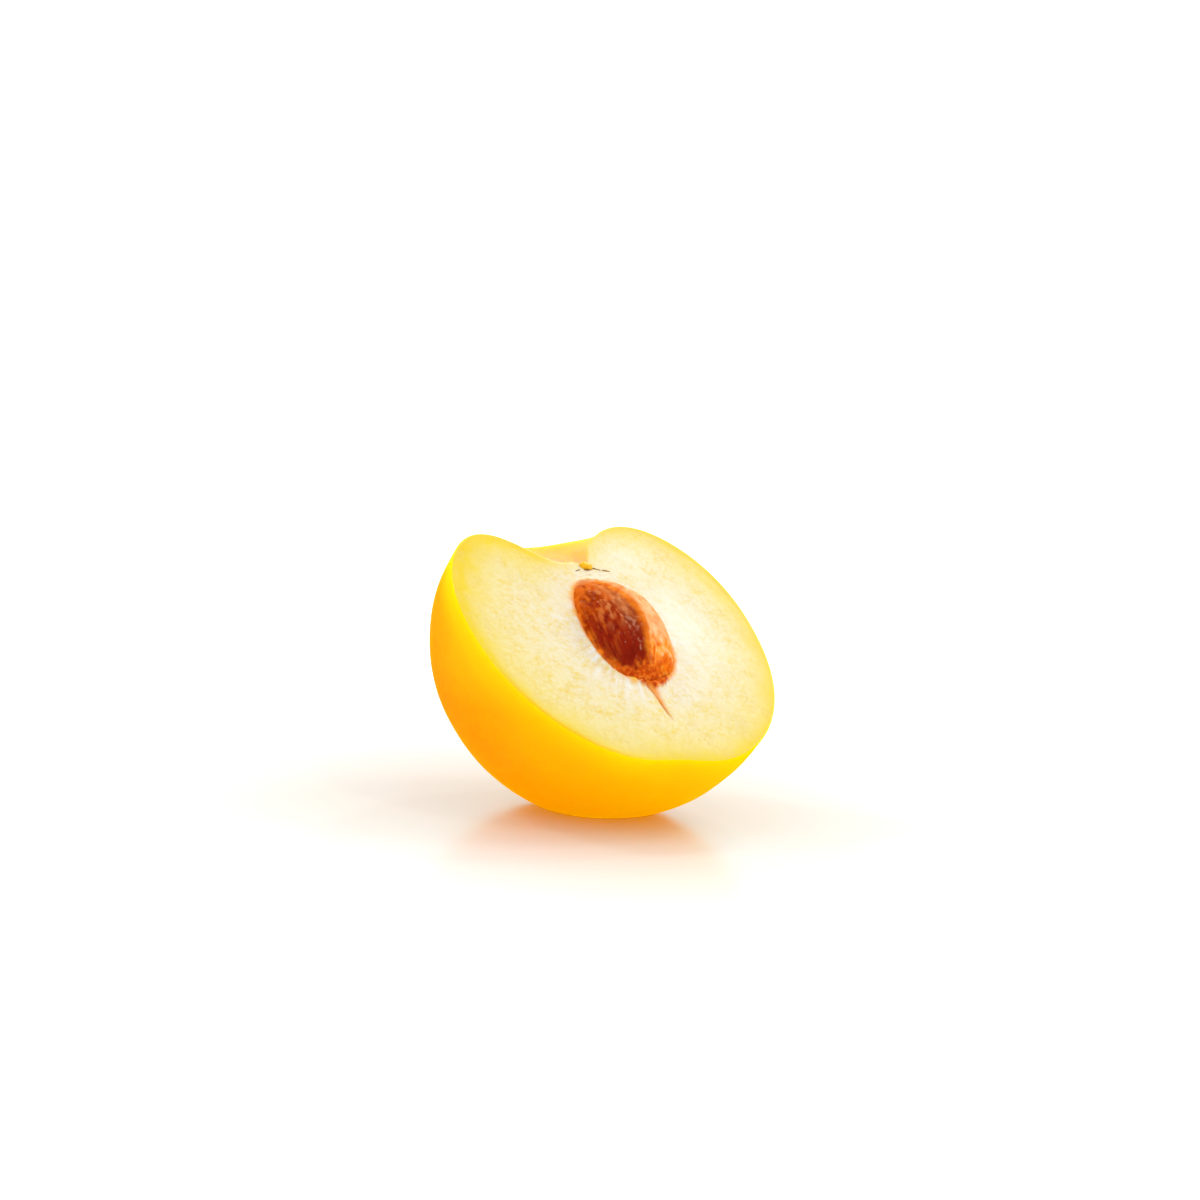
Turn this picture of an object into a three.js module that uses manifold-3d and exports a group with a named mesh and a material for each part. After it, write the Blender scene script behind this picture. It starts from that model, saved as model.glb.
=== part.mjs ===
// Half of a yellow plum with its stone, lying on its skin side. The fruit was cut beside the stone, which
// stays in the half with its keel up. Millimetres, +Z up; the origin is the middle of the spot it rests on.
//
// The fruit has its own axes: X across the cut face, Y along the core towards the stem, Z out of the cut
// face. A group leans the fruit back about X, so that the stem end is up and the blossom end is down.

import * as THREE from "three";
import { mergeVertices, toCreasedNormals } from "three/addons/utils/BufferGeometryUtils.js";
import Module from "manifold-3d";

const wasm = await Module();
wasm.setup();

// The whole fruit, before its funnel, its dimple and its furrow.
const HALF_WIDTH = 26.7; // across the cut face
const HALF_LENGTH = 26.8; // along the core
const HALF_DEPTH = 28.5; // through the cut face
const FULLNESS = 2.16; // 2 is an ellipsoid, more is squarer at the shoulders
const TAPER = 0.051; // how much wider the stem end is than the middle
const LEAN = 1.15; // how far the stem end leans to the right

// The funnel that the stem grew from. It is far wider across the cut face than through it, and its deepest
// place, the pit that held the stem, is off to the right of its middle.
const FUNNEL_DEPTH = 12.1;
const FUNNEL_TO_LEFT = 9; // from its middle to the left
const FUNNEL_TO_RIGHT = 11.6;
const FUNNEL_THROUGH = 4.8;
const FUNNEL_WALL = 1.77; // 2 is a bell, less is more pointed
const FUNNEL_LEFT = 2.4; // how far left of the core its middle is
const PIT_DEPTH = 2.7;
const PIT_RADIUS = 2.2;
const PIT_WALL = 1.5; // as FUNNEL_WALL
const PIT_RIGHT = 2; // how far right of the core the pit is
const SCAR_RADIUS = 2.6; // the low ring of cork round the pit
const SCAR_HEIGHT = 0.3;
const SCAR_WIDTH = 0.6;

// The dimple at the blossom end.
const DIMPLE_DEPTH = 1.3;
const DIMPLE_RADIUS = 6.9;
const DIMPLE_LEFT = 3.3;

// The furrow down the fruit's back, deepest at the stem end.
const FURROW_DEPTH = 0.8;
const FURROW_WIDTH = 3.4;

// How far up the core each fades in, as a share of the way to the stem end, or to the blossom end for
// the dimple.
const FADES = { end: [-0.2, 0.4], furrow: [-0.6, 0.5] };

// The cut, and how the half lies.
const CUT_DEPTH = 0.3; // the cut face is this far below the core
const TILT = 37; // degrees from level to the cut face
const REST_DEPTH = 1.15; // how deep the flat spot is pressed into the skin

// The stone, edge up on the core, with its keel proud of the cut face.
const STONE_HALF_LENGTH = 11.5;
const STONE_HALF_WIDTH = 7.5;
const STONE_HALF_DEPTH = 7; // from its middle to its back edge, and up to the foot of the keel
const STONE_SUNK = 1.8; // its middle is this far below the cut face
const STONE_BOW = 0.95; // how far its middle bows to the right of its tips
const STONE_BELLY = 0.13; // how far towards the blossom end it is widest, of its half length
const STONE_BACK = 0.08; // how far towards the stem end it is deepest, of its half length
const STONE_TIPS = 0.85; // how sharp its tips are seen from the side: 0.5 is round, 1 is a parabola
const STONE_GAP = 0.35; // between stone and flesh
const KEEL = { height: 0.5, width: 0.8 };
const KEEL_GROOVE = { depth: 0.3, width: 1, from: 2.6 };
const WRINKLE = { height: 0.14, spacing: 4.2, around: 6 }; // spacing is along the stone

// The slit that runs on from the stone's tip towards the blossom end.
const SLIT_LENGTH = 7.7;
const SLIT_WIDTH = 0.8;
const SLIT_DEPTH = 1.6;
const SLIT_START = 1; // how far inside the stone's tip it starts, to open into the socket

// How finely each is drawn. The fruit's rings crowd towards the stem end, where its shape is finest.
const FRUIT_FACETS = { around: 80, along: 58, crowding: 0.35 };
const STONE_FACETS = { around: 44, along: 36, crowding: 0 };

// ---------------------------------------------------------------------------------------------- helpers

const { degToRad: radians, smoothstep } = THREE.MathUtils;
const CREASE = radians(30); // sharper edges than this are shaded sharp
const bell = (distance, width, steepness = 2) => Math.exp(-Math.pow(distance / width, steepness));

// A closed three.js geometry as a manifold-3d solid.
function solid(geometry) {
  const bare = geometry.clone();
  bare.deleteAttribute("normal");
  bare.deleteAttribute("uv");
  const merged = mergeVertices(bare);
  const vertProperties = new Float32Array(merged.attributes.position.array);
  const triVerts = new Uint32Array(merged.index.array);
  return new wasm.Manifold(new wasm.Mesh({ numProp: 3, vertProperties, triVerts }));
}

function mesh(name, manifold, material) {
  const { vertProperties, triVerts } = manifold.getMesh();
  const geometry = new THREE.BufferGeometry();
  geometry.setAttribute("position", new THREE.BufferAttribute(vertProperties, 3));
  geometry.setIndex(new THREE.BufferAttribute(triVerts, 1));
  const made = new THREE.Mesh(toCreasedNormals(geometry, CREASE), material);
  made.name = name;
  return made;
}

// A ball whose every direction from the middle is carried to the point that the rule gives for it.
function shapedBall({ around, along, crowding }, rule) {
  const ball = new THREE.SphereGeometry(1, around, along);
  const places = ball.attributes.position;
  const direction = new THREE.Vector3();
  const angles = new THREE.Spherical();
  for (let i = 0; i < places.count; i++) {
    angles.setFromVector3(direction.fromBufferAttribute(places, i));
    angles.phi -= crowding * Math.sin(angles.phi);
    const place = rule(direction.setFromSpherical(angles));
    places.setXYZ(i, place.x, place.y, place.z);
  }
  return ball;
}

// ------------------------------------------------------------------------------------------------ fruit

// The plain fruit: a squarish ellipsoid, wider at the stem end and leaning a little.
function plainPoint({ x, y, z }) {
  const power = (value, half) => Math.pow(Math.abs(value) / half, FULLNESS);
  const sum = power(x, HALF_WIDTH) + power(y, HALF_LENGTH) + power(z, HALF_DEPTH);
  const place = new THREE.Vector3(x, y, z).multiplyScalar(Math.pow(sum, -1 / FULLNESS));
  const rise = place.y / HALF_LENGTH;
  place.x = (place.x + LEAN * rise) * (1 + TAPER * rise);
  place.z *= 1 + TAPER * rise;
  return place;
}

// The furrow runs down the back only, and fades out towards the blossom end.
function furrowDepth({ x, y, z }) {
  const fade = smoothstep(y, ...FADES.furrow);
  return z < 0 ? -z * fade * FURROW_DEPTH * bell(x * HALF_WIDTH, FURROW_WIDTH) : 0;
}

function skinPoint(direction) {
  const place = plainPoint(direction);
  place.addScaledVector(direction, -furrowDepth(direction));

  const stemEnd = smoothstep(direction.y, ...FADES.end);
  const blossomEnd = smoothstep(-direction.y, ...FADES.end);
  const fromMiddle = place.x + FUNNEL_LEFT;
  const across = fromMiddle / (fromMiddle < 0 ? FUNNEL_TO_LEFT : FUNNEL_TO_RIGHT);
  const funnel = FUNNEL_DEPTH * bell(Math.hypot(across, place.z / FUNNEL_THROUGH), 1, FUNNEL_WALL);
  const fromPit = Math.hypot(place.x - PIT_RIGHT, place.z);
  const pit = PIT_DEPTH * bell(fromPit, PIT_RADIUS, PIT_WALL);
  const scar = SCAR_HEIGHT * bell(fromPit - SCAR_RADIUS, SCAR_WIDTH);
  const fromDimple = Math.hypot(place.x + DIMPLE_LEFT, place.z);
  place.y -= stemEnd * (funnel + pit - scar);
  place.y += blossomEnd * DIMPLE_DEPTH * bell(fromDimple, DIMPLE_RADIUS);
  return place;
}

// ------------------------------------------------------------------------------------------------ stone

// A point of the stone's surface, or of the socket's, which lies outside it by the gap.
function stonePoint(direction, gap = 0) {
  const along = direction.y;
  const across = Math.atan2(direction.x, direction.z); // 0 at the keel
  const slim = 1 - along * along;
  const widest = along + STONE_BELLY * slim;
  const deepest = along - STONE_BACK * slim;
  const width = (STONE_HALF_WIDTH + gap) * Math.sqrt(1 - widest * widest);
  const depth = (STONE_HALF_DEPTH + gap) * Math.pow(1 - deepest * deepest, STONE_TIPS);

  const fromKeel = Math.abs(across) * STONE_HALF_WIDTH;
  const keel = KEEL.height * bell(fromKeel, KEEL.width);
  const groove = KEEL_GROOVE.depth * bell(fromKeel - KEEL_GROOVE.from, KEEL_GROOVE.width);
  const slant = Math.sin((2 * Math.PI * (STONE_HALF_LENGTH * along + fromKeel)) / WRINKLE.spacing);
  const wave = slant * Math.sin((2 * Math.PI * fromKeel) / WRINKLE.around);
  const relief = slim * (keel - groove + WRINKLE.height * wave);

  const x = (width + relief) * Math.sin(across) + STONE_BOW * slim;
  const y = (STONE_HALF_LENGTH + gap) * along;
  const z = (depth + relief) * Math.cos(across) - STONE_SUNK - CUT_DEPTH;
  return new THREE.Vector3(x, y, z);
}

// The slit: a thin wedge, wide at the stone's tip, from under the cut face to above it.
function slitWedge() {
  const tip = -STONE_HALF_LENGTH + SLIT_START;
  const outline = new THREE.Shape();
  outline.moveTo(-SLIT_WIDTH / 2, tip);
  outline.lineTo(0, tip - SLIT_LENGTH);
  outline.lineTo(SLIT_WIDTH / 2, tip);
  const wedge = new THREE.ExtrudeGeometry(outline, { depth: 2 * SLIT_DEPTH, bevelEnabled: false });
  return wedge.translate(0, 0, -CUT_DEPTH - SLIT_DEPTH);
}

// ------------------------------------------------------------------------------------------- the half

const tilt = radians(TILT);
const skin = shapedBall(FRUIT_FACETS, skinPoint);
const stone = shapedBall(STONE_FACETS, (direction) => stonePoint(direction));
const socket = shapedBall(STONE_FACETS, (direction) => stonePoint(direction, STONE_GAP));

// The other half, and what the table keeps flat. Both are blocks far bigger than the fruit.
const BLOCK = 100;
const otherHalf = new THREE.BoxGeometry(BLOCK, BLOCK, BLOCK).translate(0, 0, BLOCK / 2 - CUT_DEPTH);
const leaning = skin.clone().rotateX(tilt);
leaning.computeBoundingBox();
const tableTop = leaning.boundingBox.min.z + REST_DEPTH;
const table = new THREE.BoxGeometry(BLOCK, BLOCK, BLOCK).translate(0, 0, tableTop - BLOCK / 2);
table.rotateX(-tilt);

const half = solid(skin)
  .subtract(solid(otherHalf))
  .subtract(solid(socket))
  .subtract(solid(slitWedge()))
  .subtract(solid(table));

const skinAndFlesh = new THREE.MeshStandardMaterial({ color: 0xf8c630, roughness: 0.3, metalness: 0 });
const stoneShell = new THREE.MeshStandardMaterial({ color: 0x8f3a10, roughness: 0.4, metalness: 0 });

const fruit = new THREE.Group();
fruit.add(mesh("plum_half", half, skinAndFlesh));
fruit.add(mesh("stone", solid(stone), stoneShell));

// The fruit leans back, and the middle of its flat spot is the origin.
const LEVEL = 0.001; // corners this close to the table's top are on it
fruit.rotation.x = tilt;
fruit.updateMatrixWorld(true);
const spot = new THREE.Box3();
const corner = new THREE.Vector3();
const corners = fruit.getObjectByName("plum_half").geometry.attributes.position;
for (let i = 0; i < corners.count; i++) {
  corner.fromBufferAttribute(corners, i).applyMatrix4(fruit.matrixWorld);
  if (corner.z < tableTop + LEVEL) spot.expandByPoint(corner);
}
fruit.position.copy(spot.getCenter(corner)).negate();
fruit.position.z = -tableTop;

const plum = new THREE.Group();
plum.add(fruit);

export default plum;
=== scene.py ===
"""Half of a yellow plum with its stone, lying on its skin side on a white table.

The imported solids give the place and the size. Four pieces are made. The halved fruit, with its skin, its
cut flesh and the socket in it, stands for plum_half, and the stone for stone. At the stem's scar lie a drop
of dried gum and some dried strands of the core.

The fruit has its own axes, in millimetres: X across the cut face, Y along the core towards the stem, Z out
of the cut face. Everything is shaped in them and is then leaned back and set down on the table.
"""

import math

import bpy
import numpy as np
from mathutils import Euler, Matrix, Vector, noise


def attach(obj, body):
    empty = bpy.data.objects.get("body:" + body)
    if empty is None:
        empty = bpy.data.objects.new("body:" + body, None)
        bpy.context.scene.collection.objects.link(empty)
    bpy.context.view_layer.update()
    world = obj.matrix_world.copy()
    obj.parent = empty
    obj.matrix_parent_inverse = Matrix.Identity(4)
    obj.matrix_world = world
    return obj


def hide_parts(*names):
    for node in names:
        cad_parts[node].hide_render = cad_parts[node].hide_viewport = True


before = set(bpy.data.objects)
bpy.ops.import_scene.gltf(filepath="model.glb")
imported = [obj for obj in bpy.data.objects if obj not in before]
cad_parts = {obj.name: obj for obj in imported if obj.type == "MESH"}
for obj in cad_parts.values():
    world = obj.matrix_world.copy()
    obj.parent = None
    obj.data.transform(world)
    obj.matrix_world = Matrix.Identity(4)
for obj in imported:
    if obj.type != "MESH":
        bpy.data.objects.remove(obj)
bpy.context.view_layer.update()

MM = 0.001

# ------------------------------------------------------------------------------ camera

FRUIT_CENTRE = Vector((0.647, -0.780, 26.820)) * MM  # the middle of the whole fruit, above the table
TILT = math.radians(37)  # from level to the cut face
CAMERA_AZIMUTH = math.radians(-39.56)
CAMERA_ELEVATION = math.radians(7.55)
CAMERA_ROLL = math.radians(4.97)
CAMERA_DISTANCE = 0.5
CAMERA_LENS, CAMERA_SENSOR = 101.4, 36
CAMERA_REACH = (0.01, 20)  # nearest and farthest, in metres
CAMERA_AIM = Vector((-2.86, 4.58, 0)) * MM  # the view's middle, right and up of the fruit's


def make_camera():
    flat = math.cos(CAMERA_ELEVATION)
    back = Vector((
        math.sin(CAMERA_AZIMUTH) * flat,
        -math.cos(CAMERA_AZIMUTH) * flat,
        math.sin(CAMERA_ELEVATION),
    ))
    roll = Matrix.Rotation(CAMERA_ROLL, 4, "Z")
    upright = (-back).to_track_quat("-Z", "Y").to_matrix().to_4x4()
    place = FRUIT_CENTRE + CAMERA_DISTANCE * back
    aim = FRUIT_CENTRE + (upright @ roll) @ CAMERA_AIM
    turned = (aim - place).to_track_quat("-Z", "Y").to_matrix().to_4x4()
    data = bpy.data.cameras.new("camera")
    data.lens, data.sensor_width = CAMERA_LENS, CAMERA_SENSOR
    data.clip_start, data.clip_end = CAMERA_REACH
    camera = bpy.data.objects.new("camera", data)
    bpy.context.scene.collection.objects.link(camera)
    camera.matrix_world = Matrix.Translation(place) @ turned @ roll
    bpy.context.scene.camera = camera


make_camera()

# ------------------------------------------------------------------------ measurements
# Millimetres, as in the part's own source.

HALF_WIDTH, HALF_LENGTH, HALF_DEPTH = 26.7, 26.8, 28.5  # of the whole fruit, before its hollows
FULLNESS = 2.16  # 2 is an ellipsoid, and more is squarer
TAPER = 0.051  # this share wider at the stem, and narrower at the other end
LEAN = 1.15  # how far the stem's end sits to the right
FUNNEL_DEPTH = 12.1
FUNNEL_TO_LEFT, FUNNEL_TO_RIGHT, FUNNEL_THROUGH = 9, 11.6, 4.8
FUNNEL_WALL = 1.77  # steepness
FUNNEL_LEFT = 2.4
PIT_DEPTH, PIT_RADIUS, PIT_WALL, PIT_RIGHT = 2.7, 2.2, 1.5, 2
SCAR_RADIUS, SCAR_HEIGHT, SCAR_WIDTH = 2.6, 0.3, 0.6
DIMPLE_DEPTH, DIMPLE_RADIUS, DIMPLE_LEFT = 1.3, 6.9, 3.3
FURROW_DEPTH, FURROW_WIDTH = 0.8, 3.4
END_FADE, FURROW_FADE = (-0.2, 0.4), (-0.6, 0.5)
CUT_DEPTH = 0.3  # how far under the core's middle the knife went
STONE_HALF_LENGTH, STONE_HALF_WIDTH, STONE_HALF_DEPTH = 11.5, 7.5, 7
STONE_SUNK = 1.8
STONE_BOW = 0.95
STONE_BELLY, STONE_BACK, STONE_TIPS = 0.13, 0.08, 0.85
KEEL_HEIGHT, KEEL_WIDTH = 0.5, 0.8
GROOVE_DEPTH, GROOVE_WIDTH, GROOVE_FROM = 0.3, 1, 2.6
SLIT_LENGTH, SLIT_START = 7.7, 1  # it starts this far inside the stone's tip
FLAT_SPOT_EDGE = 0.15  # how softly the spot that it lies on begins

# ----------------------------------------------------------------------------- helpers

CREST_SHARPNESS = 2.4
COARSE_CRESTS, FINE_CRESTS, FINE_SPACING = 0.68, 0.32, 0.47  # how much of each, and the fine ones' spacing
POINTS_AT_ONCE = 4000


def bell(distance, width, steepness=2):
    """1 in the middle, and down to about a third at its width."""
    return np.exp(-np.power(np.abs(distance) / width, steepness))


def smoothstep(value, low, high):
    share = np.clip((value - low) / (high - low), 0, 1)
    return share * share * (3 - 2 * share)


def patch(spots, middle, reach, steepness=2):
    """A soft round or oval patch: 1 in its middle, and down to about a third at its reach each way."""
    return bell(np.hypot(*((spots[:, :2] - middle) / reach).T), 1, steepness)


def noise_at(points, spacing, octaves=2, offset=0.0):
    """Smooth noise from about -1 to 1 at each point, with lumps about that many millimetres apart."""
    shift = Vector((offset, offset * 0.7, -offset))
    return np.array([
        noise.fractal(Vector(point) + shift, 1.0, 2.0, octaves) for point in np.asarray(points) / spacing
    ])


def crests_at(points, spacing, offset=0.0):
    """Sharp wandering crests: 1 on a crest, down to about 0 between them."""
    coarse = 1 - np.abs(noise_at(points, spacing, 1, offset)) * CREST_SHARPNESS
    fine = 1 - np.abs(noise_at(points, spacing * FINE_SPACING, 1, offset + 5)) * CREST_SHARPNESS
    return np.clip(COARSE_CRESTS * coarse + FINE_CRESTS * fine, 0, 1)


def nearest(points, line):
    """How far each point is from the nearest point of a line."""
    found = np.empty(len(points))
    for start in range(0, len(points), POINTS_AT_ONCE):
        some = slice(start, start + POINTS_AT_ONCE)
        found[some] = np.sqrt(((points[some, None] - line) ** 2).sum(2)).min(1)
    return found


def places(piece):
    found = np.empty(len(piece.data.vertices) * 3)
    piece.data.vertices.foreach_get("co", found)
    return found.reshape(-1, 3)


def put(piece, points):
    piece.data.vertices.foreach_set("co", np.asarray(points, float).ravel())
    piece.data.update()


def attribute(piece, name, values):
    made = piece.data.attributes.get(name) or piece.data.attributes.new(name, "FLOAT", "POINT")
    made.data.foreach_set("value", np.asarray(values, float))


def values_of(piece, name):
    found = np.empty(len(piece.data.vertices))
    piece.data.attributes[name].data.foreach_get("value", found)
    return found


def edge_ends(piece):
    ends = np.empty(len(piece.data.edges) * 2, int)
    piece.data.edges.foreach_get("vertices", ends)
    return ends.reshape(-1, 2)


def selected(piece):
    found = np.empty(len(piece.data.vertices), bool)
    piece.data.vertices.foreach_get("select", found)
    return np.flatnonzero(found)


def edit_edges(piece, wanted):
    """Into edit mode with just these edges selected."""
    for kind in (piece.data.vertices, piece.data.edges, piece.data.polygons):
        kind.foreach_set("select", np.zeros(len(kind), bool))
    piece.data.edges.foreach_set("select", wanted)
    ends = edge_ends(piece)[wanted]
    marked = np.zeros(len(piece.data.vertices), bool)
    marked[ends.ravel()] = True
    piece.data.vertices.foreach_set("select", marked)
    bpy.context.tool_settings.mesh_select_mode = (False, True, False)
    bpy.ops.object.mode_set(mode="EDIT")


def done():
    bpy.ops.object.mode_set(mode="OBJECT")


def ball(name, segments, rings):
    bpy.ops.object.select_all(action="DESELECT")
    bpy.ops.mesh.primitive_uv_sphere_add(segments=segments, ring_count=rings, radius=1)
    made = bpy.context.object
    made.name = made.data.name = name
    return made


def set_down(piece):
    """From the fruit's own axes to where it lies, pressed flat where it meets the table."""
    lean = np.array(Matrix.Rotation(TILT, 3, "X"))
    points = places(piece) @ lean.T * MM + np.array(FRUIT_CENTRE)
    points[:, 2] = (points[:, 2] + np.hypot(points[:, 2], FLAT_SPOT_EDGE * MM)) / 2
    put(piece, points)


# ----------------------------------------------------------------------- the two forms

OUTLINE_ROUND, OUTLINE_ALONG = 241, 801  # how finely the stone's outline is found


def skin_points(directions):
    """The skin of the whole fruit, seen from its middle in each direction."""
    x, y, z = directions.T
    half = np.array((HALF_WIDTH, HALF_LENGTH, HALF_DEPTH))
    reach = (np.abs(directions / half) ** FULLNESS).sum(1) ** (-1 / FULLNESS)
    place = directions * reach[:, None]
    rise = place[:, 1] / HALF_LENGTH
    place[:, 0] = (place[:, 0] + LEAN * rise) * (1 + TAPER * rise)
    place[:, 2] *= 1 + TAPER * rise

    furrow = -z * smoothstep(y, *FURROW_FADE) * FURROW_DEPTH * bell(x * HALF_WIDTH, FURROW_WIDTH)
    place -= directions * np.where(z < 0, furrow, 0)[:, None]

    funnel = FUNNEL_DEPTH * bell(from_funnel(place), 1, FUNNEL_WALL)
    from_pit = np.hypot(place[:, 0] - PIT_RIGHT, place[:, 2])
    pit = PIT_DEPTH * bell(from_pit, PIT_RADIUS, PIT_WALL)
    scar = SCAR_HEIGHT * bell(from_pit - SCAR_RADIUS, SCAR_WIDTH)
    from_dimple = np.hypot(place[:, 0] + DIMPLE_LEFT, place[:, 2])
    place[:, 1] -= smoothstep(y, *END_FADE) * (funnel + pit - scar)
    place[:, 1] += smoothstep(-y, *END_FADE) * DIMPLE_DEPTH * bell(from_dimple, DIMPLE_RADIUS)
    return place


def from_funnel(place):
    """How far out from the middle of the stem's funnel: at 1 it has risen by about two thirds."""
    from_middle = place[:, 0] + FUNNEL_LEFT
    across = from_middle / np.where(from_middle < 0, FUNNEL_TO_LEFT, FUNNEL_TO_RIGHT)
    return np.hypot(across, place[:, 2] / FUNNEL_THROUGH)


def stone_points(directions, gap=0.0, relief=0.0):
    """The stone, or with a gap its socket. Both narrow to their tips, where relief runs out."""
    along = directions[:, 1]
    across = np.arctan2(directions[:, 0], directions[:, 2])
    slim = 1 - along * along
    widest = along + STONE_BELLY * slim
    deepest = along - STONE_BACK * slim
    width = (STONE_HALF_WIDTH + gap) * np.sqrt(np.clip(1 - widest * widest, 0, 1))
    depth = (STONE_HALF_DEPTH + gap) * np.clip(1 - deepest * deepest, 0, 1) ** STONE_TIPS

    from_keel = np.abs(across) * STONE_HALF_WIDTH
    keel = KEEL_HEIGHT * bell(from_keel, KEEL_WIDTH)
    groove = GROOVE_DEPTH * bell(from_keel - GROOVE_FROM, GROOVE_WIDTH)
    raised = slim * (keel - groove + relief)
    return np.stack([
        (width + raised) * np.sin(across) + STONE_BOW * slim,
        (STONE_HALF_LENGTH + gap) * along,
        (depth + raised) * np.cos(across) - STONE_SUNK - CUT_DEPTH,
    ], 1)


def stone_outline(height, gap, angles):
    """Where the stone, or its socket, crosses a level: a point for each angle round its middle."""
    found = []
    across = np.linspace(0, math.pi, OUTLINE_ROUND)
    for along in np.sin(np.linspace(-math.pi / 2, math.pi / 2, OUTLINE_ALONG)[1:-1]):
        ring = math.sqrt(1 - along * along)
        for side in (-1, 1):
            directions = np.stack([
                side * ring * np.sin(across), np.full_like(across, along), ring * np.cos(across)
            ], 1)
            points = stone_points(directions, gap)
            if points[:, 2].min() < height < points[:, 2].max():
                found.append([np.interp(-height, -points[:, 2], points[:, axis]) for axis in (0, 1)])
    found = np.array(found) - (STONE_BOW, 0)
    turn = np.arctan2(found[:, 1], found[:, 0])
    order = np.argsort(turn)
    radius = np.interp(angles, turn[order], np.hypot(*found[order].T), period=2 * math.pi)
    return np.stack([
        radius * np.cos(angles) + STONE_BOW, radius * np.sin(angles), np.full_like(angles, height)
    ], 1)


# -------------------------------------------------------------------- the halved fruit

FRUIT_SEGMENTS, FRUIT_RINGS = 384, 112
CUT_RINGS = 62
CROWDING_ROUND, CROWDING_DOWN = 0.52, 0.25  # the mesh is finest at both ends of the core and at the rim
RIM_ROUNDING = 0.16
STONE_FIT = -0.12  # the flesh closes in on the stone by this much where they meet
SOCKET_GAP = 0.35
SOCKET_LEVELS = (-0.9, -1.6, -2.6, -3.8, -5, -6.2, -7.2, -8.1, -8.8, -9.2)
ON_THE_CUT = 1e-4  # as near to its level as that
IN_THE_SOCKET = 0.999


def make_fruit():
    """The halved fruit, and the line of its rim. It is 1 in "inward" in the socket, and 0 on the skin."""
    piece = ball("flesh_half", FRUIT_SEGMENTS, FRUIT_RINGS)
    directions = places(piece)
    round_core = np.arctan2(directions[:, 0], directions[:, 1])
    round_core -= CROWDING_ROUND / 2 * np.sin(2 * round_core)
    down = np.arcsin(np.clip(directions[:, 2], -1, 1))
    down -= CROWDING_DOWN / 2 * np.sin(2 * down)
    directions = np.stack([
        np.sin(round_core) * np.cos(down), np.cos(round_core) * np.cos(down), np.sin(down)
    ], 1)
    put(piece, skin_points(directions))

    # The knife's cut, and from its edge one wide strip in to the stone.
    edit_edges(piece, np.ones(len(piece.data.edges), bool))
    bpy.ops.mesh.bisect(
        plane_co=(0, 0, -CUT_DEPTH), plane_no=(0, 0, 1), clear_outer=True, use_fill=False, threshold=1e-6
    )
    bpy.ops.mesh.extrude_edges_move()
    done()
    lip = selected(piece)
    points = places(piece)
    rim = points[lip].copy()
    order = lip[np.argsort(np.arctan2(points[lip, 1], points[lip, 0]))]
    angles = np.arctan2(points[order, 1], points[order, 0])
    columns = np.linspace(-math.pi, math.pi, len(order), endpoint=False)
    columns = columns - CROWDING_ROUND / 2 * np.sin(2 * (columns - math.pi / 2))
    middle = np.interp(angles, np.sort(columns), np.sort(columns))
    points[order] = stone_outline(-CUT_DEPTH, STONE_FIT, middle)
    put(piece, points)
    inward = np.zeros(len(points))
    inward[lip] = 1
    attribute(piece, "inward", inward)

    # The socket's wall goes down from there and closes under the stone.
    loop = order
    for level in SOCKET_LEVELS:
        edit_edges(piece, np.isin(edge_ends(piece), loop).all(1))
        bpy.ops.mesh.extrude_edges_move()
        done()
        below = selected(piece)
        points = places(piece)
        turn = np.arctan2(points[below, 1], points[below, 0] - STONE_BOW)
        points[below] = stone_outline(level, SOCKET_GAP, turn)
        put(piece, points)
        loop = below
    edit_edges(piece, np.isin(edge_ends(piece), loop).all(1))
    bpy.ops.mesh.extrude_edges_move()
    bpy.ops.mesh.merge(type="CENTER")
    done()

    # The rim is rounded a little, and the strip is divided into rings.
    flat, deep = flat_and_deep(piece)
    ends = edge_ends(piece)
    edit_edges(piece, flat[ends].all(1) & ~deep[ends].any(1))
    bpy.ops.mesh.bevel(offset=RIM_ROUNDING, segments=3, profile=0.5, affect="EDGES", clamp_overlap=False)
    done()
    flat, deep = flat_and_deep(piece)
    ends = edge_ends(piece)
    edit_edges(piece, flat[ends].all(1) & (deep[ends].sum(1) == 1))
    bpy.ops.mesh.subdivide(number_cuts=CUT_RINGS)
    done()
    return piece, rim


def flat_and_deep(piece):
    """Which points lie on the cut, and which in the socket or on its lip."""
    flat = np.abs(places(piece)[:, 2] + CUT_DEPTH) < ON_THE_CUT
    return flat, values_of(piece, "inward") > IN_THE_SOCKET


def colour_faces(piece, materials):
    """Flesh on the cut and in the socket, skin everywhere else."""
    for each in materials:
        piece.data.materials.append(each)
    flat, deep = flat_and_deep(piece)
    inside = [
        int(all(flat[i] for i in face.vertices) or all(deep[i] for i in face.vertices))
        for face in piece.data.polygons
    ]
    piece.data.polygons.foreach_set("material_index", inside)
    return flat


# ------------------------------------------------------------------------ the cut face
# Heights, spacings and places in millimetres, on the cut, from the fruit's middle.

LIP_POINTS = 720
SWELL_HEIGHT, SWELL_SPACING = 0.14, 8  # the knife's cut isn't quite even
GRAIN_HEIGHT, GRAIN_SPACING = 0.03, 0.8
FIBRE_HEIGHT, FIBRE_REACH = 0.1, 6  # from the stone outwards
FIBRES_ROUND, FIBRES_OUT = 15, 0.16  # how fast the fibres change round the stone, and outwards
FIBRES_CLEAREST, FIBRES_SPREAD = (-0.85, -0.5), 0.9  # in which direction from the stone
FIBRES_EVERYWHERE, FIBRES_THERE = 0.35, 0.65
RIM_FADE, STONE_FADE = (0, 1.5), (0.05, 0.9)

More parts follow.
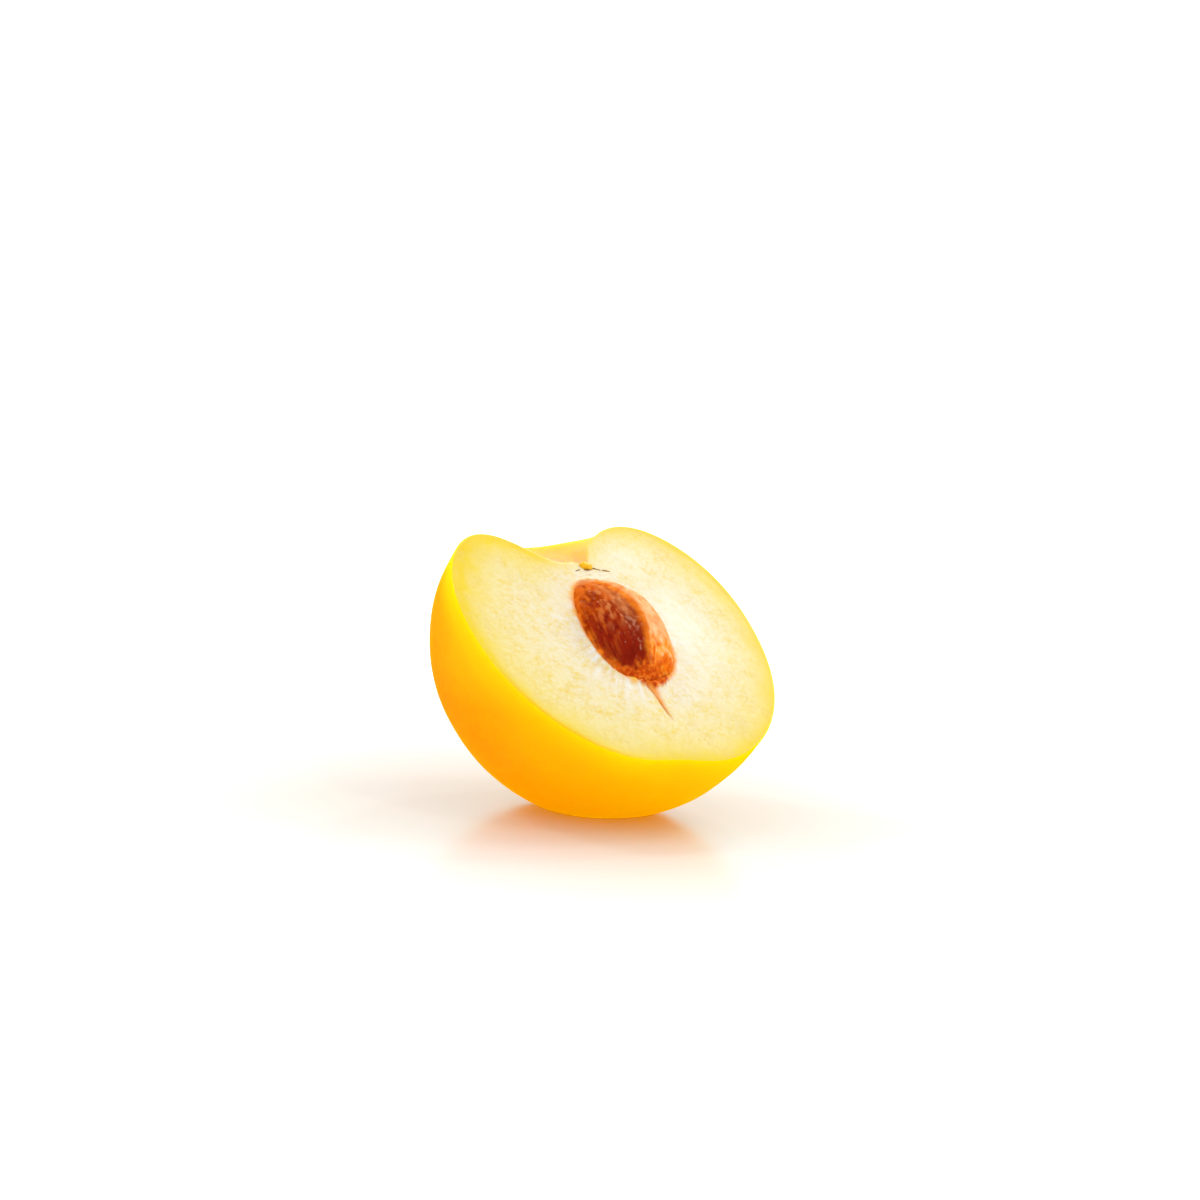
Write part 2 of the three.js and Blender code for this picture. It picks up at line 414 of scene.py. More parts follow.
CLING_FROM, CLING_WIDTH, CLING_HEIGHT = 0.45, 0.4, 0.14  # flesh that clings to the stone
CLING_ROUGH, CLING_SPACING, CLING_AT_STEM = 0.16, 1.1, 0.3
STEM_END, STEM_END_MIDDLE, STEM_END_HALF = (8.5, 11), 1.5, 5
TORN_MIDDLE, TORN_HALF, TORN_HEIGHT = (1.9, 12.0), (3.4, 0.9), 0.22  # torn strands by the scar
TORN_SPACING, TORN_DIP = 0.8, 0.3

SLIT_TOP = -9.8  # where the stone's lower tip leaves the cut
SLIT_BOTTOM = -STONE_HALF_LENGTH + SLIT_START - SLIT_LENGTH
LINE_DEPTH, BANK_DEPTH = 0.22, 0.16
SLIT_HEAD, SLIT_FLARE = 1.5, 0.2  # so far it runs on up the stone, and this share of it is flared
BANK_TAIL, BANK_HEAD, BANK_FLARE = 0.12, 0.75, 0.5  # half widths: its end, and what its head and flare add
LINE_TAIL, LINE_HEAD = 0.1, 0.05
STREAK_SPACING = 0.42

STAIN_FROM, STAIN_LEAST, STAIN_MOST = 0.05, 0.3, 2  # the stone's red in the flesh, out from the stone
STAIN_SPREAD, STAIN_UNEVEN, STAIN_SPACING = 1.15, 0.5, 1.4
STAIN_WEAKEST, STAIN_WEAK_REACH, STAIN_WEAKER = (-0.75, -0.6), 0.75, 0.8  # which way from the stone
STAIN_LOST_AT_STEM = 0.35

TIP_LINE = ((-1.1, -9.9), (0.6, -10.45), (1.8, -10.35), (3.4, -9.3))  # where the stone's tip goes under
TIP_POINTS = 40
TIP_RAGGED, TIP_SPACING = 0.4, 0.6
TISSUE_EDGE, TISSUE_HEIGHT, TISSUE_ROUGH, TISSUE_SPACING = (0.45, 0.95), 0.3, 0.15, 0.4
CRUMB_MIDDLE, CRUMB_RADIUS, CRUMB_HEIGHT = (-2.9, -9.65), 0.8, 0.4
CRUMB_ROUGH, CRUMB_SPACING = 0.4, 0.5

# Where a painted sheen makes the flesh paler: right of the stone, and at the upper right
PAINTED_SHEEN_PATCHES = (((12, 1), (8, 10), 1.0), ((9, 15), (7, 5), 0.7))  # middle, reach, strength
RIPE_MIDDLE, RIPE_REACH = (-18, 12), 11
SKIN_EDGE_MIDDLE, SKIN_EDGE_REACH, SKIN_EDGE_WIDTH = (-18.5, -17), 11, 0.8  # skin that shows past the rim


def relieve_cut(piece, cut_face, rim):
    """Relief of the cut face, and what the flesh's colour follows."""
    points = places(piece)
    face = np.flatnonzero(cut_face)
    spot = points[face]
    flat = spot[:, :2]
    lip = stone_outline(-CUT_DEPTH, STONE_FIT, np.linspace(-math.pi, math.pi, LIP_POINTS))
    from_rim = nearest(flat, rim[:, :2])
    from_stone = nearest(flat, lip[:, :2])
    outward = flat - (STONE_BOW, 0)
    reach = np.hypot(*outward.T)
    turn = outward / reach[:, None]

    # White fibres run out from the stone, over wet grain and shallow swells.
    fibre = noise_at(np.column_stack([turn * FIBRES_ROUND, reach * FIBRES_OUT]), 1, 3)
    fibre *= FIBRES_EVERYWHERE + FIBRES_THERE * patch(turn, FIBRES_CLEAREST, FIBRES_SPREAD)
    height = SWELL_HEIGHT * noise_at(spot, SWELL_SPACING, 2, 7.7)
    height += GRAIN_HEIGHT * noise_at(spot, GRAIN_SPACING, 2, 3.1)
    height += FIBRE_HEIGHT * fibre * bell(from_stone, FIBRE_REACH)
    height *= smoothstep(from_rim, *RIM_FADE) * smoothstep(from_stone, *STONE_FADE)

    # Flesh clings to the stone, thickest at the stem's end, and torn strands lie between stone and scar.
    x, y = flat.T
    stem_end = smoothstep(y, *STEM_END) * bell(x - STEM_END_MIDDLE, STEM_END_HALF, 4)
    cling = CLING_HEIGHT + CLING_ROUGH * noise_at(spot, CLING_SPACING, 2, 0.4) + CLING_AT_STEM * stem_end
    height += cling * bell(from_stone - CLING_FROM, CLING_WIDTH)
    strands = crests_at(spot * (0.3, 1.0, 1.0), TORN_SPACING, 2.7)
    torn = bell(x - TORN_MIDDLE[0], TORN_HALF[0], 4) * bell(y - TORN_MIDDLE[1], TORN_HALF[1], 4)
    height += TORN_HEIGHT * torn * (strands - TORN_DIP)

    # The slit is a thin line with soft streaked banks, wide at the stone's tip.
    share = np.clip((SLIT_TOP - y) / (SLIT_TOP - SLIT_BOTTOM), 0, 1)
    there = (y < SLIT_TOP + SLIT_HEAD) & (y > SLIT_BOTTOM)
    there = there * np.clip((1 - share) * 4, 0, 1)  # its last quarter fades out
    flare = bell(share, SLIT_FLARE)
    middle = -0.05 + 0.06 * np.sin(share * 7) + 0.2 * flare + 0.1 * share  # it wanders a little
    half = BANK_TAIL + BANK_HEAD * (1 - share) + BANK_FLARE * flare
    streaks = crests_at(spot * (1.0, 0.16, 1.0), STREAK_SPACING, 1.1)
    slit = there * bell(x - middle + 0.7 * half * (1 - share), LINE_TAIL + LINE_HEAD * (1 - share))
    banks = there * bell((x - middle) / half, 1, 2.5)
    banks *= 0.5 + 0.5 * np.maximum(streaks, bell(share, 0.35, 3))  # whole near its head, streaked below
    height -= LINE_DEPTH * slit + BANK_DEPTH * banks * streaks

    # The stone's red stains the flesh that touches it, less at the lower left and at the stem's end.
    weaker = STAIN_WEAKER * patch(turn, STAIN_WEAKEST, STAIN_WEAK_REACH)
    spread = STAIN_SPREAD - weaker + STAIN_UNEVEN * noise_at(spot, STAIN_SPACING, 3, 12.0)
    stain = 1 - smoothstep(from_stone, STAIN_FROM, np.clip(spread, STAIN_LEAST, STAIN_MOST))
    stain *= 1 - STAIN_LOST_AT_STEM * stem_end

    # Ragged fibre lies where the stone's tip goes under, and a crumb of flesh beside it.
    corners = np.array(TIP_LINE)
    line_x = np.linspace(*corners[[0, -1], 0], TIP_POINTS)
    line = np.column_stack([line_x, np.interp(line_x, *corners.T)])
    from_tip = nearest(flat, line) + TIP_RAGGED * noise_at(spot * (1.3, 0.6, 1.0), TIP_SPACING, 3, 21.0)
    tissue = 1 - smoothstep(from_tip, *TISSUE_EDGE)
    height += tissue * (TISSUE_HEIGHT + TISSUE_ROUGH * noise_at(spot, TISSUE_SPACING, 2, 17.0))
    crumb = patch(flat, CRUMB_MIDDLE, CRUMB_RADIUS, 3)
    height += CRUMB_HEIGHT * crumb * (1 + CRUMB_ROUGH * noise_at(spot, CRUMB_SPACING, 2, 6.6))

    points[face, 2] += height
    put(piece, points)
    # Painted sheen: the flesh is drawn paler where the wet sheen of the key lamp falls.
    pale = np.maximum(*(strength * patch(flat, place, size) for place, size, strength in PAINTED_SHEEN_PATCHES))
    skin_edge = bell(from_rim, SKIN_EDGE_WIDTH, 3) * patch(flat, SKIN_EDGE_MIDDLE, SKIN_EDGE_REACH, 4)
    for name, values in (
        ("from_rim", from_rim), ("from_stone", from_stone), ("fibre", 0.5 + 0.5 * fibre),
        ("torn", torn * strands), ("slit", slit), ("slit_banks", banks), ("stain", stain),
        ("tissue", tissue), ("crumb", crumb * (1 - tissue)), ("pale", pale),
        ("riper", patch(flat, RIPE_MIDDLE, RIPE_REACH)), ("skin_edge", skin_edge),
    ):
        all_over = np.zeros(len(points))
        all_over[face] = values
        attribute(piece, name, all_over)


# ---------------------------------------------------------------------------- the skin
# Millimetres. A fade goes from none at its first value to all at its second.

SKIN_SWELLS = ((0.16, 11, 2.2), (0.03, 3.5, 5.5))  # height, spacing, and where in the noise
SWELLS_FADE = (0.5, 4)  # under the cut
HOLLOW_REACH, STEM_FADE = 1.15, (8, 14)  # the stem's hollow: how wide, and towards the stem
LOW_FADE, LOWEST_FADE, LOW_LEFT_FADE = (7, 17), (18, 26), (2, 18)
SHOULDER_UP, SHOULDER_LEFT, SHOULDER_DOWN = (-3, 14), (13, 24), (0.3, 6)
BRIM_MIDDLE, BRIM_HALF, BRIM_LEVEL, BRIM_THICK = -1, 15, -10, 8
# How strong the painted shade is low on the left, how much of it is lost lowest, and on the brim
LOW_SHADE, LOWEST_LOST, BRIM_SHADE = 0.8, 0.5, 0.95


def relieve_skin(piece, cut_face):
    """Tight skin isn't quite even: shallow swells fade out towards the rim. Painted shade makes it darker and
    more orange low on the left, at the left shoulder and on the brim of the stem's hollow."""
    points = places(piece)
    skin = np.flatnonzero(~cut_face & (values_of(piece, "inward") <= IN_THE_SOCKET))
    spot = points[skin]
    outward = spot / np.linalg.norm(spot, axis=1)[:, None]
    swell = sum(height * noise_at(spot, spacing, 2, offset) for height, spacing, offset in SKIN_SWELLS)
    points[skin] = spot + outward * (swell * smoothstep(-spot[:, 2], *SWELLS_FADE))[:, None]
    put(piece, points)

    x, y, z = points.T
    hollow = bell(from_funnel(points), HOLLOW_REACH) * smoothstep(y, *STEM_FADE)
    low = smoothstep(-z, *LOW_FADE) * (1 - LOWEST_LOST * smoothstep(-z, *LOWEST_FADE))
    low *= smoothstep(-x, *LOW_LEFT_FADE)
    shoulder = smoothstep(y, *SHOULDER_UP) * smoothstep(-x, *SHOULDER_LEFT) * smoothstep(-z, *SHOULDER_DOWN)
    brim = bell(x - BRIM_MIDDLE, BRIM_HALF, 4) * bell(z - BRIM_LEVEL, BRIM_THICK, 4)
    brim *= smoothstep(y, *STEM_FADE) * (1 - hollow)
    attribute(piece, "hollow", hollow)
    # The painted shade: 1 where the skin is drawn darker and more orange
    attribute(piece, "painted_shade", 1 - (1 - LOW_SHADE * low) * (1 - shoulder) * (1 - BRIM_SHADE * brim))


# --------------------------------------------------------------------------- the stone
# Millimetres: along the stone from its middle towards the stem, across it from its keel to the right, and
# up from the cut. A fade goes from none at its first value to all at its second.

STONE_SEGMENTS, STONE_RINGS = 272, 184
BARE_FADE = (0.1, 1.2)  # flesh smooths the stone where it leaves the cut
FLANK_FADE = (0.3, 1.2)
SEAM_SHIFT, SEAM_FADE = 1.1, (-2, 7)  # towards the stem the two flanks meet left of the keel
LOWER_END, LOWER_RAGGED = (2.8, 5.4), 1.2

LUMPS, FIBRES = (1.0, 1.6, 4, 4.0), (0.4, 2.6, 3, 7.0)  # spacing across and along, octaves, noise's place
BEADS = (0.5, 0.6, 2, 11.0)
LUMP_HEIGHT, FIBRE_RISE, BEAD_HEIGHT, PIT_RISE = 0.2, 0.07, 0.24, 0.26
LUMPS_END, LUMPS_FADE = 9.5, 2.5
BEADS_MIDDLE, BEADS_HALF = (-2.0, -1.5), (1.5, 6)  # across and along
RAGGED_HEIGHT, RAGGED_FADE, RAGGED_LIFT = 0.5, (7.2, 9.2), 0.3
STONE_SWELLS = ((0.07, 2.2, 6.0), (0.04, 0.45, 8.0))  # height, spacing, and where in the noise

CLING_TOP, CLING_RAGGED, CLING_FADE = 1.3, 0.7, 1.7
CLING_LOST_AT_STEM, CLING_STEM_FADE = 0.9, (4, 8)
TIP_FADE, TISSUE_FADE = (6.9, 8.6), (6.9, 8.7)
KEEL_LINE, KEEL_HALF, KEEL_WANDER, KEEL_FLESH = -0.4, 0.5, 0.25, 0.8
TAN_MIDDLE, TAN_HALF, TAN_CREST = (-3.2, 3.0), (3.0, 4.6), (-0.12, 0.55)  # across and along, and how high
# The tan crest beside the seam is a painted highlight of wet wrinkles
CREST_LINE, CREST_HALF, CREST_MIDDLE, CREST_LENGTH = -1.9, 1.0, 4, 5.5  # tan crest beside the seam
FIBRES_OUTER, FIBRES_UPPER = (3.6, 6.5), (-9, 0)


def make_stone():
    """Woody ridges run along its left flank, and its right flank is smooth but for its lower end."""
    piece = ball("stone_shell", STONE_SEGMENTS, STONE_RINGS)
    x, y, z = places(piece).T
    directions = np.stack([x, z, -y], 1)
    plain = stone_points(directions)
    along = plain[:, 1]
    height = plain[:, 2] + CUT_DEPTH
    from_keel = np.arctan2(directions[:, 0], directions[:, 2]) * STONE_HALF_WIDTH
    left, right = (smoothstep(side * from_keel, *FLANK_FADE) for side in (-1, 1))
    wobble = noise_at(plain, 1.3, 3, 5.0)
    ragged = wobble + 0.4 * noise_at(plain * (1.0, 0.5, 1.0), 0.7, 2, 9.0)
    seam = from_keel + SEAM_SHIFT * smoothstep(along, *SEAM_FADE)
    low = smoothstep(-along + LOWER_RAGGED * wobble, *LOWER_END)

    def running(across, lengthwise, octaves, offset):
        """Noise that is drawn out along the stone."""
        spots = np.stack([from_keel / across, along / lengthwise, plain[:, 2] * 0.3], 1)
        return noise_at(spots, 1, octaves, offset)

    lumps = running(*LUMPS)
    fibres = running(*FIBRES)
    beads = running(*BEADS) * bell(from_keel - BEADS_MIDDLE[0], BEADS_HALF[0])
    beads *= bell(along - BEADS_MIDDLE[1], BEADS_HALF[1], 4)
    pits = noise_at(plain * (1.0, 0.6, 1.0), 0.85, 2, 2.0)
    ridges = LUMP_HEIGHT * lumps * smoothstep(LUMPS_END - along, 0, LUMPS_FADE)
    relief = left * (ridges + FIBRE_RISE * fibres + BEAD_HEIGHT * beads)
    relief += right * low * PIT_RISE * pits
    relief += RAGGED_HEIGHT * smoothstep(-along, *RAGGED_FADE) * (RAGGED_LIFT + ragged)
    relief += sum(rise * noise_at(plain, spacing, 2, offset) for rise, spacing, offset in STONE_SWELLS)
    put(piece, stone_points(directions, 0, relief * smoothstep(height, *BARE_FADE)))

    # Flesh clings along the cut, at the lower tip and on the keel.
    top = CLING_TOP + CLING_RAGGED * ragged - CLING_LOST_AT_STEM * smoothstep(along, *CLING_STEM_FADE)
    edge = smoothstep(top - height, 0, CLING_FADE)
    tip = smoothstep(-along + 0.9 * wobble + 0.12 * from_keel, *TIP_FADE)
    tissue = smoothstep(-along + 0.9 * ragged - 0.3 * np.maximum(from_keel - 2, 0), *TISSUE_FADE)
    keel = bell(seam - KEEL_LINE + KEEL_WANDER * wobble, KEEL_HALF)

    # Where the left flank is tan: partly its own colour and partly a painted highlight, on its crests and
    # beside the seam. And where its fibres show.
    tan = bell(from_keel - TAN_MIDDLE[0], TAN_HALF[0], 3) * bell(along - TAN_MIDDLE[1], TAN_HALF[1], 4)
    tan *= smoothstep(lumps + 0.3 * fibres, *TAN_CREST)
    crest = bell(seam - CREST_LINE, CREST_HALF) * bell(along - CREST_MIDDLE, CREST_LENGTH, 4)
    tan = np.maximum(tan, crest * (0.8 + 0.6 * lumps))
    fibres_show = 0.2 + 0.8 * smoothstep(-from_keel, *FIBRES_OUTER)
    fibres_show *= smoothstep(fibres, 0, 0.5) * smoothstep(along, *FIBRES_UPPER)
    # Some of these carry painted light: the right flank's pink is partly lit colour, the beads get painted
    # glints, and the hollows and pits painted shade, with painted highlights on the bumps between the pits.
    for name, values in (
        ("along", along), ("height", height), ("lower_end", low), ("tissue", tissue), ("tan", tan),
        ("keel", keel), ("clinging_flesh", np.maximum(np.maximum(edge, tip), KEEL_FLESH * keel)),
        ("right_flank", smoothstep(seam + 0.3 * wobble, -0.5, 0.1)), ("fibres", fibres_show),
        ("beads", smoothstep(beads, 0.08, 0.4)), ("pits", 0.5 + 0.7 * pits),
        ("hollows", smoothstep(-lumps, 0, 0.5) * left),
    ):
        attribute(piece, name, values)
    return piece


# --------------------------------------------------------------------- the stem's scar

GUM_SEGMENTS, GUM_RINGS = 48, 32
GUM_HALF = (1.15, 0.7, 0.65)
GUM_PLACE, GUM_TURN = (1.5, 13.7, -0.3), math.radians(-6)
GUM_UNEVEN = 0.25

STRANDS = (  # a line on the cut, and how thick
    (((2.3, 13.4), (3.1, 13.2), (4.0, 12.85)), 0.2),
    (((4.2, 12.9), (4.8, 12.85), (5.5, 12.55)), 0.24),
    (((-1.1, 12.65), (-0.45, 12.9), (0.1, 13.05)), 0.16),
    (((0.7, 12.95), (1.5, 12.85), (2.4, 13.1)), 0.3),
)
STRAND_LIFT = 0.25  # of its thickness, above the flesh
STRAND_TIP, STRAND_SWELL = 0.1, 0.9  # how thick it is at its ends, and how much more between
STRAND_ROUNDNESS, STRAND_SMOOTHNESS = 3, 8


def make_bead():
    """The drop of dried gum in the pit, where the stem came away."""
    piece = ball("scar_bead", GUM_SEGMENTS, GUM_RINGS)
    points = places(piece)
    lump = 1 + GUM_UNEVEN * noise_at(points, 0.8, 2, 1.9)
    turn = np.array(Matrix.Rotation(GUM_TURN, 3, "Z"))
    put(piece, (points * lump[:, None] * GUM_HALF) @ turn.T + GUM_PLACE)
    return piece


def make_strands(fruit, cut_face):
    """Dried strands of the core, torn off short beside the gum: thin, dark and bent."""
    flesh = places(fruit)[cut_face]
    made = []
    for number, (line, thickness) in enumerate(STRANDS):
        bpy.ops.object.select_all(action="DESELECT")
        bpy.ops.curve.primitive_nurbs_path_add()
        strand = bpy.context.object
        strand.data.bevel_depth, strand.data.bevel_resolution = thickness / 2, STRAND_ROUNDNESS
        strand.data.resolution_u, strand.data.use_fill_caps = STRAND_SMOOTHNESS, True
        path = strand.data.splines[0]
        line = np.array(line)
        corners = np.linspace(0, 1, len(line))
        for point, share in zip(path.points, np.linspace(0, 1, len(path.points))):
            x, y = (np.interp(share, corners, line[:, axis]) for axis in (0, 1))
            below = flesh[np.argmin(np.hypot(flesh[:, 0] - x, flesh[:, 1] - y)), 2]
            point.co = (x, y, below + thickness * STRAND_LIFT, 1)
            point.radius = STRAND_TIP + STRAND_SWELL * math.sin(math.pi * (0.06 + 0.88 * share))
        bpy.ops.object.convert(target="MESH")
        strand.name = strand.data.name = f"strand_{number + 1}"
        made.append(strand)
    for strand in made:
        strand.select_set(True)
    bpy.context.view_layer.objects.active = made[0]
    bpy.ops.object.join()
    made[0].name = made[0].data.name = "scar_strands"
    bpy.ops.object.transform_apply(location=True, rotation=True, scale=True)
    return made[0]


# ------------------------------------------------------------------- colours and nodes


def colour(code):
    """An sRGB hex colour as the linear colour that a socket takes."""
    parts = [int(code[i : i + 2], 16) / 255 for i in (1, 3, 5)]
    return (*(c / 12.92 if c <= 0.04045 else ((c + 0.055) / 1.055) ** 2.4 for c in parts), 1)


def add(tree, kind, inputs=None, stops=None, **settings):
    """Adds a node: its settings, its ramp's stops, and for each input a value, a colour code or a link."""
    made = tree.nodes.new("ShaderNode" + kind)
    for name, value in settings.items():
        setattr(made, name, value)
    if stops:
        ramp = made.color_ramp
        while len(ramp.elements) < len(stops):
            ramp.elements.new(0.5)
        for element, (position, code) in zip(ramp.elements, stops):
            element.position = position
            element.color = colour(code)
    for key, value in (inputs or {}).items():
        if isinstance(value, bpy.types.NodeSocket):
            tree.links.new(value, made.inputs[key])
        else:
            made.inputs[key].default_value = colour(value) if isinstance(value, str) else value
    return made


def material(name):
    made = bpy.data.materials.new(name)
    made.use_nodes = True
    made.node_tree.nodes.clear()
    return made, made.node_tree


def fruit_place(tree):
    """The fruit's own axes in millimetres, from the object's place."""
    where = add(tree, "TexCoord").outputs["Object"]
    return add(tree, "Mapping", {
        "Vector": where, "Location": FRUIT_CENTRE, "Rotation": Euler((TILT, 0, 0)), "Scale": (MM, MM, MM),
    }, vector_type="TEXTURE").outputs["Vector"]


def painted(tree, base, *layers):
    """Colours laid over a base in turn: where each shows (an attribute's name or a node's output), how strong
    it is there, and the colour."""
    for where, strength, over in layers:
        if isinstance(where, str):
            where = add(tree, "Attribute", attribute_name=where).outputs["Fac"]
        if strength < 1:
            where = add(tree, "Math", {0: where, 1: strength}, operation="MULTIPLY").outputs[0]
        base = add(tree, "Mix", {0: where, 6: base, 7: over}, data_type="RGBA").outputs[2]
    return base


# --------------------------------------------------------------------------- materials
# The gloss of what is wet or waxy is a thin coat with a high IOR and a small weight, on a body with no gloss
# of its own. So it shows the lamps, and doesn't veil the deep colours with the white of the room.

GLOSS_IOR = 3.0
BUMP_HEIGHT = 0.3 * MM

# How far apart the lumps of each pattern are, in millimetres. The real sizes are usual ones for plums.
SKIN_RIPENING, FLESH_RIPENING, FLESH_CLUMPS, STONE_BLOTCHES = 14, 5, 2.4, 1.7
SKIN_MOTTLES = 1.1  # as the skin's dots, which are too fine to show and are drawn as mottles
FLESH_GRAIN = 0.7  # cells are about 0.2 across and too fine to show, so clumps of them are drawn
FLESH_VEINS = 1.9  # drawn wider apart than real ones, which would run together
STONE_GRAIN = 0.35  # the wood's grain is under 0.1 and too fine to show, so it is drawn coarser
TORN_FIBRES, DRIED_FIBRES = 0.9, 0.5  # bundles, as single fibres are too fine to show

DEEPEST_SKIN = 26  # millimetres under the cut
CREAM_INSIDE, PATCH_SWING, RIPER_SWING, EVEN_RIM = 16, 3.2, 1.8, 3  # millimetres from the rim
# How high above the table the underside's painted glow reaches
GLOW_TOP = 16 * MM  # above the table


def waxy_skin():
    """Ripe plum skin, washed: thin, tight and waxy over wet flesh. It glows yellow by the cut, and goes to
    orange on the back, with a soft gloss. Its underside glows with painted light, an emission, and painted
    shade deepens its orange in places."""
    made, tree = material("waxy_plum_skin")
    place = fruit_place(tree)
    patches, mottles = (
        add(tree, "TexNoise", {"Vector": place, "Scale": 1 / size, "Detail": detail, "Roughness": rough})
        .outputs["Fac"] for size, detail, rough in ((SKIN_RIPENING, 3, 0.5), (SKIN_MOTTLES, 4, 0.6))
    )

    # Deeper under the cut it is riper, in soft uneven patches.
    out_of_cut = add(tree, "SeparateXYZ", {"Vector": place}).outputs["Z"]
    depth = add(tree, "Math", {0: out_of_cut, 1: -1 / DEEPEST_SKIN}, operation="MULTIPLY").outputs[0]
    uneven = add(tree, "MapRange", {"Value": patches, "To Min": -0.1, "To Max": 0.1}).outputs[0]
    ripe = add(tree, "Math", {0: depth, 1: uneven}, operation="ADD").outputs[0]
    base = add(tree, "ValToRGB", {"Fac": ripe}, stops=[
        (0.0, "#E7AC00"), (0.06, "#E7A800"), (0.12, "#E7A600"), (0.2, "#E79F00"), (0.35, "#E79500"),
        (0.5, "#E79100"), (1.0, "#E78900"),
    ]).outputs["Color"]
    # The stem's hollow is paler: partly its own colour, partly a painted sheen of the light from above.
    base = painted(tree, base, ("hollow", 1, "#CAA068"))
    # Painted shade: darker and more orange low on the left, at the left shoulder and on the brim of the
    # hollow.
    painted_shade = add(tree, "Attribute", attribute_name="painted_shade").outputs["Fac"]
    base = add(tree, "Mix", {0: painted_shade, 6: base, 7: "#FFCA80"},
               data_type="RGBA", blend_type="MULTIPLY").outputs[2]
    lighter = add(tree, "MapRange", {
        "Value": mottles, "From Min": 0.35, "From Max": 0.65, "To Max": 0.12,
    }).outputs[0]
    base = painted(tree, base, (lighter, 1, "#E7B00C"))

    # Painted light: the underside glows by emission, strongest at the table and gone higher up. It stands in
    # for light from the white table coming up through the fruit.
    above_table = add(tree, "SeparateXYZ", {"Vector": add(tree, "TexCoord").outputs["Object"]}).outputs["Z"]
    above_table = add(tree, "MapRange", {"Value": above_table, "From Max": GLOW_TOP}).outputs[0]
    glow = add(tree, "ValToRGB", {"Fac": above_table}, stops=[
        (0.0, "#B28400"), (0.12, "#A07800"), (0.25, "#8A6E00"), (0.5, "#6C5A00"), (1.0, "#000000"),
    ]).outputs["Color"]
    bump = add(tree, "Bump", {"Strength": 0.06, "Distance": BUMP_HEIGHT, "Height": mottles})
    shader = add(tree, "BsdfPrincipled", {
        "Base Color": base, "Roughness": 0.35, "IOR": 1.45, "Specular IOR Level": 0.0,
        "Subsurface Weight": 1.0, "Subsurface Radius": (1.0, 0.3, 0.02), "Subsurface Scale": 0.08,
        "Coat Weight": 0.02, "Coat Roughness": 0.15, "Coat IOR": GLOSS_IOR, "Normal": bump.outputs["Normal"],
        "Emission Color": glow, "Emission Strength": 1.0,
    })
    add(tree, "OutputMaterial", {"Surface": shader.outputs[0]})
    return made


